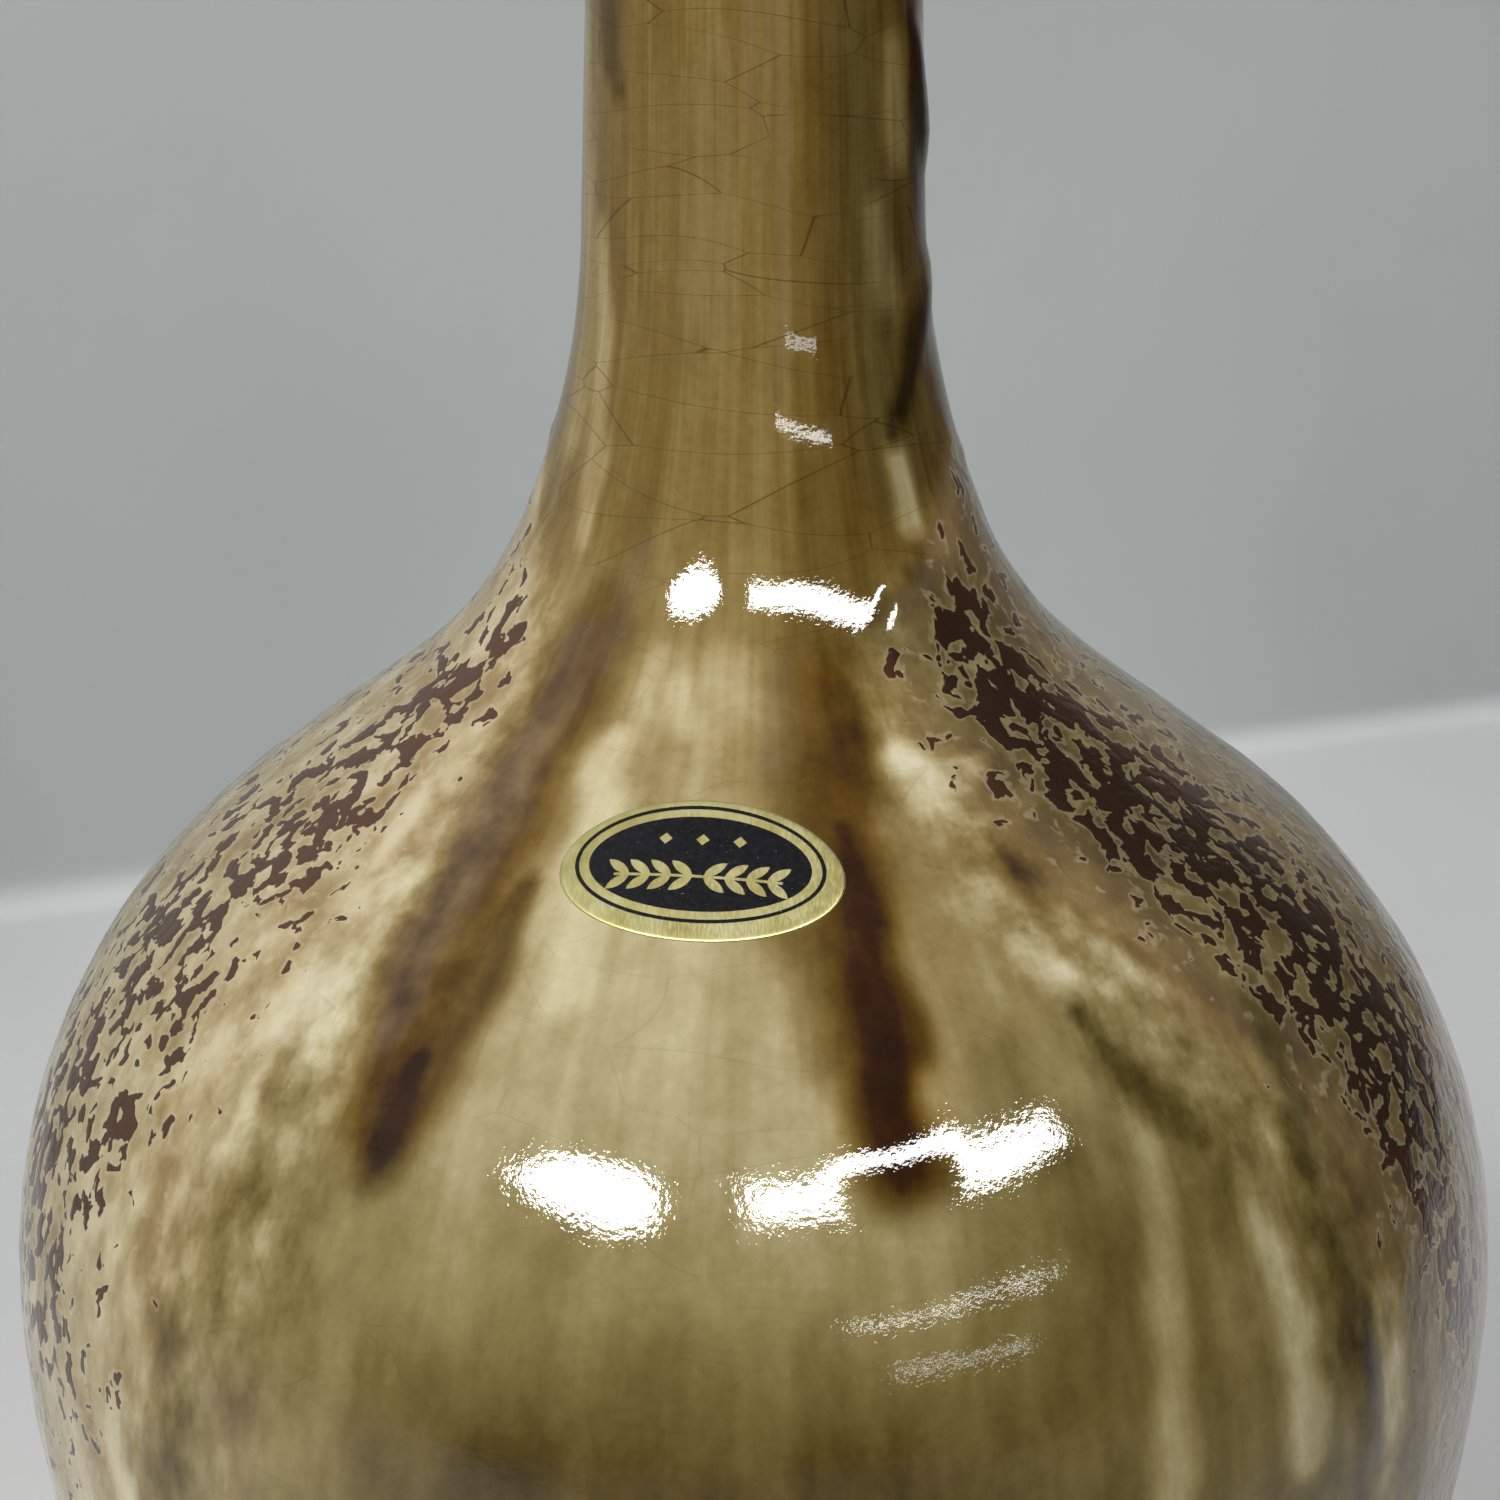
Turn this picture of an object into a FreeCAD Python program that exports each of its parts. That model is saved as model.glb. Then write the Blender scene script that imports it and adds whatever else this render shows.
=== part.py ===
"""Long-necked stoneware sake bottle: thrown clay body, three glaze coats and a paper-thin foil label.

Millimetres. +Z is up, the foot stands on Z = 0, the bottle's axis is the Z axis and the label faces -Y.
"""
import FreeCAD, Part
import math
import os

# Overall shape, measured on the finished glazed surface.
BODY_RADIUS = 70.0
WIDEST_HEIGHT = 57.0
SHOULDER_RADIUS = 55.0
SHOULDER_LEAN = 53.4
SHOULDER_STRAIGHT = 19.5
COLLAR_RADIUS = 34.4
COLLAR_LEAN = 23.5
NECK_SWEEP_RADIUS = 72.2
NECK_LEAN = 1.8
NECK_TOP = 217.0
FLARE_RADIUS = 24.0
FLARE_LEAN = -45.0
BELLY_RADIUS = 112.0
BELLY_LEAN = -14.0
BASE_RADIUS = 34.0
GLAZE_LINE_LEAN = -60.0
BASE_LEAN = -72.0

# Clay wall and foot ring.
WALL = 5.2
FOOT_OUTER_RADIUS = 43.0
FOOT_INNER_RADIUS = 36.0
FOOT_RECESS = 3.2
FOOT_EDGE = 0.8

# Coats. The poured ash glaze lies on the body glaze, and both lie on the clay.
BODY_GLAZE = 0.5
ASH_GLAZE = 0.3
LINER_GLAZE = 0.5

# Edge of the ash pour. It covers the neck all round down to POUR_COLLAR, and below that an apron
# down the front, whose edge is given as X, Z points seen from the front.
POUR_COLLAR = 124.0
APRON_TOP_HALF_WIDTH = 17.0
APRON_SIDE = (42.0, 97.0)
APRON_HALF_WIDTH = 53.0
APRON_DRIPS = ((-48, 38), (-37, 31), (-24, 40), (-9, 28), (7, 36), (21, 25), (33, 37), (45, 33))
APRON_OVERLAP = 1.0

# Oval foil label on the straight part of the shoulder.
LABEL_WIDTH = 23.0
LABEL_HEIGHT = 13.4
LABEL_AZIMUTH = -6.1
LABEL_CENTRE_HEIGHT = 107.0
LABEL_TILT = -1.5
ADHESIVE = 0.05
FOIL = 0.12
INK = 0.04
CUTTER_DEPTH = 6.0

# Print on the foil, as shares of the label's width and height, printed a little high and left.
PRINT_SHIFT = (-0.16, 0.5)
RING_SHARE = (0.88, 0.83)
RING_LINE = 0.32
FIELD_SHARE = (0.78, 0.67)
SPRIG_LEAVES = 4
SPRIG_PITCH = 1.7
SPRIG_DROP = 1.2
FIRST_LEAF = 0.25
LEAF_LENGTH = 2.3
LEAF_WIDTH = 0.85
LEAF_ANGLE = 38.0
STEM_WIDTH = 0.28
LOZENGE_PITCH = 3.0
LOZENGE_SIZE = 1.1
LOZENGE_RISE = 2.3

Z_AXIS = FreeCAD.Vector(0, 0, 1)
ORIGIN = FreeCAD.Vector(0, 0, 0)
FULL_TURN = 360.0
MEETING_GAP = 0.000001


def normal(lean):
    """Unit outward normal, as (radius, height), of a surface that leans inward by lean degrees."""
    angle = math.radians(lean)
    return math.cos(angle), math.sin(angle)


def along(point, lean, distance):
    """The point that lies a distance from point along the normal for lean."""
    n = normal(lean)
    return point[0] + distance * n[0], point[1] + distance * n[1]


def vector(point):
    """A (radius, height) point in the XZ plane."""
    return FreeCAD.Vector(point[0], 0, point[1])


def line(start, end):
    """Straight edge between two (radius, height) points."""
    return Part.LineSegment(vector(start), vector(end)).toShape()


def arc(centre, radius, first, last):
    """Arc edge about centre, between the normals first and last; a negative radius is concave."""
    ends = [vector(along(centre, lean, radius)) for lean in (first, (first + last) / 2, last)]
    return Part.Arc(*ends).toShape()


def centres():
    """Centres of the outline's arcs and the ends of its straight stretches."""
    belly = (BODY_RADIUS - BELLY_RADIUS, WIDEST_HEIGHT)
    base = along(belly, BELLY_LEAN, BELLY_RADIUS - BASE_RADIUS)
    shoulder = (BODY_RADIUS - SHOULDER_RADIUS, WIDEST_HEIGHT)
    rise = math.radians(SHOULDER_LEAN)
    foot_of_collar = along(shoulder, SHOULDER_LEAN, SHOULDER_RADIUS)
    foot_of_collar = (
        foot_of_collar[0] - SHOULDER_STRAIGHT * math.sin(rise),
        foot_of_collar[1] + SHOULDER_STRAIGHT * math.cos(rise),
    )
    collar = along(foot_of_collar, SHOULDER_LEAN, COLLAR_RADIUS)
    sweep = along(collar, COLLAR_LEAN, NECK_SWEEP_RADIUS - COLLAR_RADIUS)
    neck_foot = along(sweep, NECK_LEAN, -NECK_SWEEP_RADIUS)
    neck_rise = NECK_TOP - neck_foot[1]
    neck_top = (neck_foot[0] - neck_rise * math.tan(math.radians(NECK_LEAN)), NECK_TOP)
    flare = along(neck_top, NECK_LEAN, FLARE_RADIUS)
    return {
        "base": base,
        "belly": belly,
        "shoulder": shoulder,
        "collar": collar,
        "sweep": sweep,
        "flare": flare,
    }


CENTRES = centres()
CLAY_DEPTH = BODY_GLAZE + ASH_GLAZE
CAVITY_DEPTH = CLAY_DEPTH + WALL
BORE_RADIUS = CENTRES["sweep"][0] - NECK_SWEEP_RADIUS - CAVITY_DEPTH
LIP_RADIUS = (CENTRES["flare"][0] - FLARE_RADIUS - BORE_RADIUS + CLAY_DEPTH) / 2
LIP_CENTRE = along(CENTRES["flare"], FLARE_LEAN, -FLARE_RADIUS - LIP_RADIUS)
LIP_TOP = 90.0
MOUTH_LEAN = 180.0 + FLARE_LEAN


def joined(pieces):
    """The edges of pieces with straight edges put between any two that don't meet end to end."""
    edges = [pieces[0]]
    for piece in pieces[1:]:
        gap_start = edges[-1].lastVertex().Point
        gap_end = piece.firstVertex().Point
        if gap_start.distanceToPoint(gap_end) > MEETING_GAP:
            edges.append(Part.LineSegment(gap_start, gap_end).toShape())
        edges.append(piece)
    return edges


def belly_outline(depth, low_lean):
    """Edges from low_lean near the foot up to the end of the collar, depth under the glazed surface."""
    return joined([
        arc(CENTRES["base"], BASE_RADIUS - depth, low_lean, BELLY_LEAN),
        arc(CENTRES["belly"], BELLY_RADIUS - depth, BELLY_LEAN, 0),
        arc(CENTRES["shoulder"], SHOULDER_RADIUS - depth, 0, SHOULDER_LEAN),
        arc(CENTRES["collar"], -COLLAR_RADIUS - depth, SHOULDER_LEAN, COLLAR_LEAN),
    ])


def outer_outline(depth, low_lean):
    """Edges from low_lean near the foot up to the top of the lip, depth under the glazed surface."""
    return joined(belly_outline(depth, low_lean) + [
        arc(CENTRES["sweep"], -NECK_SWEEP_RADIUS - depth, COLLAR_LEAN, NECK_LEAN),
        arc(CENTRES["flare"], -FLARE_RADIUS - depth, NECK_LEAN, FLARE_LEAN),
        arc(LIP_CENTRE, LIP_RADIUS - depth, FLARE_LEAN, LIP_TOP),
    ])


def inner_outline(coat):
    """Edges from the top of the lip down to the middle of the floor, a coat's depth off the clay."""
    mouth_radius = FLARE_RADIUS + 2 * LIP_RADIUS - CLAY_DEPTH + coat
    depth = CAVITY_DEPTH + coat
    down = joined([
        arc(LIP_CENTRE, LIP_RADIUS - CLAY_DEPTH + coat, LIP_TOP, MOUTH_LEAN),
        arc(CENTRES["flare"], mouth_radius, MOUTH_LEAN, 180),
        arc(CENTRES["sweep"], NECK_SWEEP_RADIUS + depth, 180, 180 + COLLAR_LEAN),
        arc(CENTRES["collar"], COLLAR_RADIUS + depth, 180 + COLLAR_LEAN, 180 + SHOULDER_LEAN),
        arc(CENTRES["shoulder"], depth - SHOULDER_RADIUS, 180 + SHOULDER_LEAN, 180),
        arc(CENTRES["belly"], depth - BELLY_RADIUS, 180, 180 + BELLY_LEAN),
        arc(CENTRES["base"], depth - BASE_RADIUS, 180 + BELLY_LEAN, 90),
    ])
    floor_edge = down[-1].lastVertex().Point
    return down + [line((floor_edge.x, floor_edge.z), (0, floor_edge.z))]


def foot_outline():
    """Edges from the middle of the recessed underside, round the foot ring, to the clay above it."""
    corners = [
        (0, FOOT_RECESS),
        (FOOT_INNER_RADIUS - FOOT_EDGE, FOOT_RECESS),
        (FOOT_INNER_RADIUS, FOOT_EDGE),
        (FOOT_INNER_RADIUS + FOOT_EDGE, 0),
        (FOOT_OUTER_RADIUS - FOOT_EDGE, 0),
        (FOOT_OUTER_RADIUS, FOOT_EDGE),
    ]
    return [line(start, end) for start, end in zip(corners, corners[1:])]


def turned(edges):
    """Solid of revolution of a closed chain of edges in the XZ plane."""
    wire = Part.Wire(edges)
    return Part.Face(wire).revolve(ORIGIN, Z_AXIS, FULL_TURN).Solids[0]


def closed(edges):
    """The chain of edges with a straight edge from its end back to its start."""
    start = edges[0].firstVertex().Point
    end = edges[-1].lastVertex().Point
    return edges + [Part.LineSegment(end, start).toShape()]


def reversed_chain(edges):
    """The same chain walked from its end to its start."""
    back = []
    for edge in reversed(edges):
        curve = edge.Curve.trim(edge.FirstParameter, edge.LastParameter)
        curve.reverse()
        back.append(curve.toShape())
    return back


def skin(outer, inner):
    """Revolved skin between two chains of edges that run the same way."""
    return turned(closed(joined(outer + reversed_chain(inner))))


def stoneware_body():
    """Thrown clay shell: foot ring, belly, neck, lip, and the hollow inside it."""
    edges = joined(foot_outline() + outer_outline(CLAY_DEPTH, BASE_LEAN) + inner_outline(0))
    return turned(closed(edges))


def body_glaze():
    """Base coat over the whole outside, from the glaze line above the foot to the top of the lip."""
    return skin(outer_outline(ASH_GLAZE, GLAZE_LINE_LEAN), outer_outline(CLAY_DEPTH, GLAZE_LINE_LEAN))


def liner_glaze():
    """Coat on the inside, from the top of the lip to the middle of the floor."""
    return skin(inner_outline(LINER_GLAZE), inner_outline(0))


def pour_cover():
    """Space that holds the ash pour: everything above the collar, and the apron in front."""
    reach = 2 * BODY_RADIUS
    above = Part.makeBox(reach, reach, reach, FreeCAD.Vector(-reach / 2, -reach / 2, POUR_COLLAR))
    side_x, side_z = APRON_SIDE
    top = POUR_COLLAR + APRON_OVERLAP
    left = [(-APRON_TOP_HALF_WIDTH, top), (-side_x, side_z), (-APRON_HALF_WIDTH, WIDEST_HEIGHT)]
    right = [(APRON_HALF_WIDTH, WIDEST_HEIGHT), (side_x, side_z), (APRON_TOP_HALF_WIDTH, top)]
    drips = Part.BSplineCurve()
    drips.interpolate([vector(point) for point in (left[-1],) + APRON_DRIPS + (right[0],)])
    apron = Part.Wire([
        Part.Arc(*[vector(point) for point in left]).toShape(),
        drips.toShape(),
        Part.Arc(*[vector(point) for point in right]).toShape(),
        line(right[-1], left[0]),
    ])
    return above.fuse(Part.Face(apron).extrude(FreeCAD.Vector(0, -reach, 0)))


def ash_glaze():
    """Poured coat over the neck and down the front, ending in drips."""
    whole = skin(outer_outline(0, GLAZE_LINE_LEAN), outer_outline(ASH_GLAZE, GLAZE_LINE_LEAN))
    return whole.common(pour_cover())


def label_placement():
    """Label frame: X along its width, Y up the shoulder, Z out of the glaze, at its centre."""
    azimuth = math.radians(LABEL_AZIMUTH)
    lean = math.radians(SHOULDER_LEAN)
    outward = FreeCAD.Vector(math.sin(azimuth), -math.cos(azimuth), 0)
    across = FreeCAD.Vector(math.cos(azimuth), math.sin(azimuth), 0)
    face = outward * math.cos(lean) + Z_AXIS * math.sin(lean)
    start = along(CENTRES["shoulder"], SHOULDER_LEAN, SHOULDER_RADIUS)
    rise = LABEL_CENTRE_HEIGHT - start[1]
    centre = outward * (start[0] - rise * math.tan(lean)) + Z_AXIS * LABEL_CENTRE_HEIGHT
    frame = FreeCAD.Placement(centre, FreeCAD.Rotation(across, face.cross(across), face, "ZXY"))
    return frame * FreeCAD.Placement(ORIGIN, FreeCAD.Rotation(Z_AXIS, LABEL_TILT))


def shoulder_layer(low, high):
    """Revolved layer between low and high above the glaze, over the part of the shoulder with the label."""
    return skin(belly_outline(-high, 0), belly_outline(-low, 0))


def prism(face):
    """Cutter through the label's layers from a flat face in the label's own plane."""
    face.translate(FreeCAD.Vector(0, 0, -CUTTER_DEPTH / 2))
    solid = face.extrude(FreeCAD.Vector(0, 0, CUTTER_DEPTH))
    solid.Placement = label_placement() * solid.Placement
    return solid


def oval(width, height, shift=(0, 0)):
    """Flat oval face of the given full width and height."""
    centre = FreeCAD.Vector(shift[0], shift[1], 0)
    return Part.Face(Part.Wire(Part.Ellipse(centre, width / 2, height / 2).toShape()))


def leaf(x, y, angle):
    """Flat leaf face of two arcs that starts at x, y and points along angle."""
    tip = FreeCAD.Vector(LEAF_LENGTH, 0, 0)
    bulge = FreeCAD.Vector(LEAF_LENGTH / 2, LEAF_WIDTH / 2, 0)
    hollow = FreeCAD.Vector(LEAF_LENGTH / 2, -LEAF_WIDTH / 2, 0)
    wire = Part.Wire([Part.Arc(ORIGIN, bulge, tip).toShape(), Part.Arc(tip, hollow, ORIGIN).toShape()])
    face = Part.Face(wire)
    face.rotate(ORIGIN, Z_AXIS, angle)
    face.translate(FreeCAD.Vector(x, y, 0))
    return face


def lozenge(x, y):
    """Flat four-cornered face standing on its point at x, y."""
    half = LOZENGE_SIZE / 2
    corners = [(x + half, y), (x, y + half), (x - half, y), (x, y - half), (x + half, y)]
    return Part.Face(Part.makePolygon([FreeCAD.Vector(cx, cy, 0) for cx, cy in corners]))


def ornament():
    """Faces of the plain leafy sprig and the three lozenges that show the foil through the ink."""
    middle_x, middle_y = PRINT_SHIFT
    stem_y = middle_y - SPRIG_DROP
    stem_half = SPRIG_LEAVES * SPRIG_PITCH
    stem_corner = FreeCAD.Vector(middle_x - stem_half, stem_y - STEM_WIDTH / 2, 0)
    faces = [Part.makePlane(2 * stem_half, STEM_WIDTH, stem_corner)]
    for step in range(SPRIG_LEAVES):
        for side in (1, -1):
            x = middle_x + side * (step + FIRST_LEAF) * SPRIG_PITCH
            for turn in (LEAF_ANGLE, -LEAF_ANGLE):
                angle = turn if side == 1 else 180 - turn
                faces.append(leaf(x, stem_y, angle))
    for step in (-1, 0, 1):
        faces.append(lozenge(middle_x + step * LOZENGE_PITCH, middle_y + LOZENGE_RISE))
    return faces


def label_adhesive():
    """Film of glue under the whole label."""
    return shoulder_layer(0, ADHESIVE).common(prism(oval(LABEL_WIDTH, LABEL_HEIGHT)))


def label_foil():
    """Gold foil oval."""
    return shoulder_layer(ADHESIVE, ADHESIVE + FOIL).common(prism(oval(LABEL_WIDTH, LABEL_HEIGHT)))


def label_ink():
    """Black ring and black field printed on the foil, with the ornament left open."""
    ring_width, ring_height = LABEL_WIDTH * RING_SHARE[0], LABEL_HEIGHT * RING_SHARE[1]
    ring = oval(ring_width, ring_height, PRINT_SHIFT)
    ring = ring.cut(oval(ring_width - 2 * RING_LINE, ring_height - 2 * RING_LINE, PRINT_SHIFT))
    field = oval(LABEL_WIDTH * FIELD_SHARE[0], LABEL_HEIGHT * FIELD_SHARE[1], PRINT_SHIFT)
    faces = ornament()
    opening = faces[0].multiFuse(faces[1:])
    layer = shoulder_layer(ADHESIVE + FOIL, ADHESIVE + FOIL + INK)
    printed = [layer.common(prism(face)) for face in (ring, field.cut(opening))]
    return Part.makeCompound([solid for shape in printed for solid in shape.Solids])


PARTS = (stoneware_body, body_glaze, liner_glaze, ash_glaze, label_adhesive, label_foil, label_ink)

os.makedirs("parts", exist_ok=True)
for make in PARTS:
    shape = make()
    shape.exportStep("parts/" + make.__name__ + ".step")
    print(make.__name__, "valid", shape.isValid(), "solids", len(shape.Solids))
    print("  volume", round(shape.Volume, 1), "box", shape.BoundBox)
print("bore radius", round(BORE_RADIUS - LINER_GLAZE, 3))
print("bore from", round(CENTRES["sweep"][1], 3), "to", round(CENTRES["flare"][1], 3))
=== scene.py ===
"""Looks of the long-necked stoneware sake bottle: clay, glazes with their runs, foil label, light and camera.

Lengths are in millimetres and angles in degrees until a mesh, light or camera is made, which is in metres.
Azimuth 0 is the front, -Y, near the middle of the label, and it grows towards +X. In the strokes, height is
measured up from the widest part of the belly.
"""
import math

import bmesh
import bpy
import numpy as np
from mathutils import Euler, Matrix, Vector, noise

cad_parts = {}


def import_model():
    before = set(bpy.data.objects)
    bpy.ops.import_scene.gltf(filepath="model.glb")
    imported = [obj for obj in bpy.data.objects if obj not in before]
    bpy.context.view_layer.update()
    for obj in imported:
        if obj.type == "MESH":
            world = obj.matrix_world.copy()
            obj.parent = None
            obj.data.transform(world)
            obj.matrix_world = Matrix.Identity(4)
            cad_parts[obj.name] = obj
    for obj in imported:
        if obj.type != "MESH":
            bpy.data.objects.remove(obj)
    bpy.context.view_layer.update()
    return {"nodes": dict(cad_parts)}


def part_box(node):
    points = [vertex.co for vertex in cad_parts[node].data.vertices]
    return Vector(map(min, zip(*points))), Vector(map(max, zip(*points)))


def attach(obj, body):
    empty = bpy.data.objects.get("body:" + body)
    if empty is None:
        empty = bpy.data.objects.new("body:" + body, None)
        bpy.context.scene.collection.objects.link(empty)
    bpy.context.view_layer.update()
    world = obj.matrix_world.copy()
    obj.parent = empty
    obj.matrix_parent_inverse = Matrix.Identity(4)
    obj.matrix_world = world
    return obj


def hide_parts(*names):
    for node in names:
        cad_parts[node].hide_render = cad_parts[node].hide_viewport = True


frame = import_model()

MM = 0.001

# ---------------------------------------------------------------- outline of the bottle

# Sizes as in the CAD part. CLAY_DEPTH is both outer glazes together, and the leans are angles from
# upright: of the shoulder's straight part and of the surface at the glaze line over the foot.
WIDEST_HEIGHT = 57.0
BODY_RADIUS = round(-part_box("ash_glaze")[0].y / MM, 1)
SHOULDER_LEAN = 53.4
GLAZE_LINE_LEAN = -60.0
CLAY_DEPTH = 0.8
WALL = 5.2
LINER = 0.5
LIP_RADIUS = 2.4
FLARE_RADIUS = 24.0
THROAT_LENGTH = 24.0
BORE_TAPER = 1.8
# Height over the widest part at which the hollow runs into the throat.
THROAT_BOTTOM = 98.5

# Stretches of the glazed surface from the glaze line up to the lip and down the throat. An arc has
# its radius and the lean of the surface at its end, a straight has its length.
STRETCHES = (
    ("arc", 34.0, -14.0),
    ("arc", 112.0, 0.0),
    ("arc", 55.0, SHOULDER_LEAN),
    ("straight", 19.5),
    ("arc", -34.4, 23.5),
    ("arc", -72.2, BORE_TAPER),
    ("straight", 63.9),
    ("arc", -FLARE_RADIUS, -45.0),
    ("arc", LIP_RADIUS, 135.0),
    ("arc", FLARE_RADIUS + 2 * LIP_RADIUS - CLAY_DEPTH + LINER, 180.0),
    ("straight", THROAT_LENGTH),
)
# Spacing in mm of the outline's points.
FINE = 0.1


def walk(stretches, lean):
    """Points (radius, height, lean) every FINE mm along the stretches, before they are put in place."""
    points = [(0.0, 0.0, lean)]
    for stretch in stretches:
        r, z, lean = points[-1]
        if stretch[0] == "straight":
            steps = max(1, round(stretch[1] / FINE))
            for i in range(1, steps + 1):
                gone = stretch[1] * i / steps
                points.append((r - gone * math.sin(math.radians(lean)),
                               z + gone * math.cos(math.radians(lean)), lean))
            continue
        radius, last = stretch[1:]
        first = math.radians(lean)
        turn = math.radians(last) - first
        steps = max(2, round(abs(radius * turn) / FINE))
        for i in range(1, steps + 1):
            now = first + turn * i / steps
            points.append((r + radius * (math.cos(now) - math.cos(first)),
                           z + radius * (math.sin(now) - math.sin(first)), math.degrees(now)))
    return np.array(points)


OUTLINE = walk(STRETCHES, GLAZE_LINE_LEAN)
widest = int(np.argmax(OUTLINE[:, 0]))
OUTLINE[:, :2] += np.array([BODY_RADIUS, WIDEST_HEIGHT]) - OUTLINE[widest, :2]
ALONG = np.concatenate([[0.0], np.cumsum(np.hypot(*np.diff(OUTLINE[:, :2], axis=0).T))])
LIP_TOP_INDEX = int(np.argmax(OUTLINE[:, 1]))
LIP_ALONG = ALONG[LIP_TOP_INDEX]


def outline_at(along, depth=0.0):
    """Radius, height and lean at distances along the outline, depth under the glazed surface."""
    r, z, lean = (np.interp(along, ALONG, OUTLINE[:, i]) for i in range(3))
    return r - depth * np.cos(np.radians(lean)), z - depth * np.sin(np.radians(lean)), lean


def along_at(height):
    """Distance along the outline of a height above the widest part, on the outside."""
    return np.interp(height, OUTLINE[:LIP_TOP_INDEX, 1] - WIDEST_HEIGHT, ALONG[:LIP_TOP_INDEX])


# ---------------------------------------------------------------- where the glaze ran

# Edge of the bare, speckled glaze, as azimuth by height, left and right of the poured front. Above
# the wavy collar line the pour goes all the way round the neck.
EDGE_HEIGHTS = (-60, 0, 10, 20, 30, 40, 50, 56, 62, 66, 70, 76, 82)
EDGE_LEFT = (46, 45, 44, 42, 41, 40, 39, 42, 48, 55, 63, 79, 110)
EDGE_RIGHT = (55, 54, 51, 48, 44, 37, 30, 26, 24, 29, 42, 62, 84)
COLLAR_HEIGHT = 79.0
COLLAR_WAVE = 1.8
COLLAR_FADE = 4.0
OUTSIDE_UNIT = 40.0

# Thickness of the poured glaze by height, on the left, in the middle and on the right: 0 is a pale
# skin and 1 a nearly black pool. The values are partly real glaze and partly painted shade: the middle
# darkens towards the bottom for shade under the belly, and the right is darker than the left for shade
# on the right side and up the neck.
POUR_HEIGHTS = (-60, 0, 12, 24, 36, 46, 56, 64, 74, 190)
POUR_LEFT = (0.50, 0.47, 0.48, 0.45, 0.40, 0.34, 0.34, 0.46, 0.54, 0.54)
POUR_MIDDLE = (0.78, 0.78, 0.72, 0.44, 0.29, 0.29, 0.37, 0.45, 0.51, 0.53)
POUR_RIGHT = (0.64, 0.62, 0.60, 0.57, 0.49, 0.44, 0.46, 0.56, 0.66, 0.68)
# The same for the speckled glaze beside the pour, by azimuth. It is higher on the right, partly darker
# glaze and partly painted shade on the dim right side.
BARE_AZIMUTHS = (-180, -40, 40, 90, 180)
BARE_THICKNESS_AND_SHADE = (0.36, 0.25, 0.67, 0.60, 0.36)
# Where the pour changes from left to middle, from middle to right, and to its look at the back.
LEFT_AZIMUTHS = (-34.0, -16.0)
RIGHT_AZIMUTHS = (8.0, 24.0)
REAR_AZIMUTHS = (90.0, 170.0)

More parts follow.
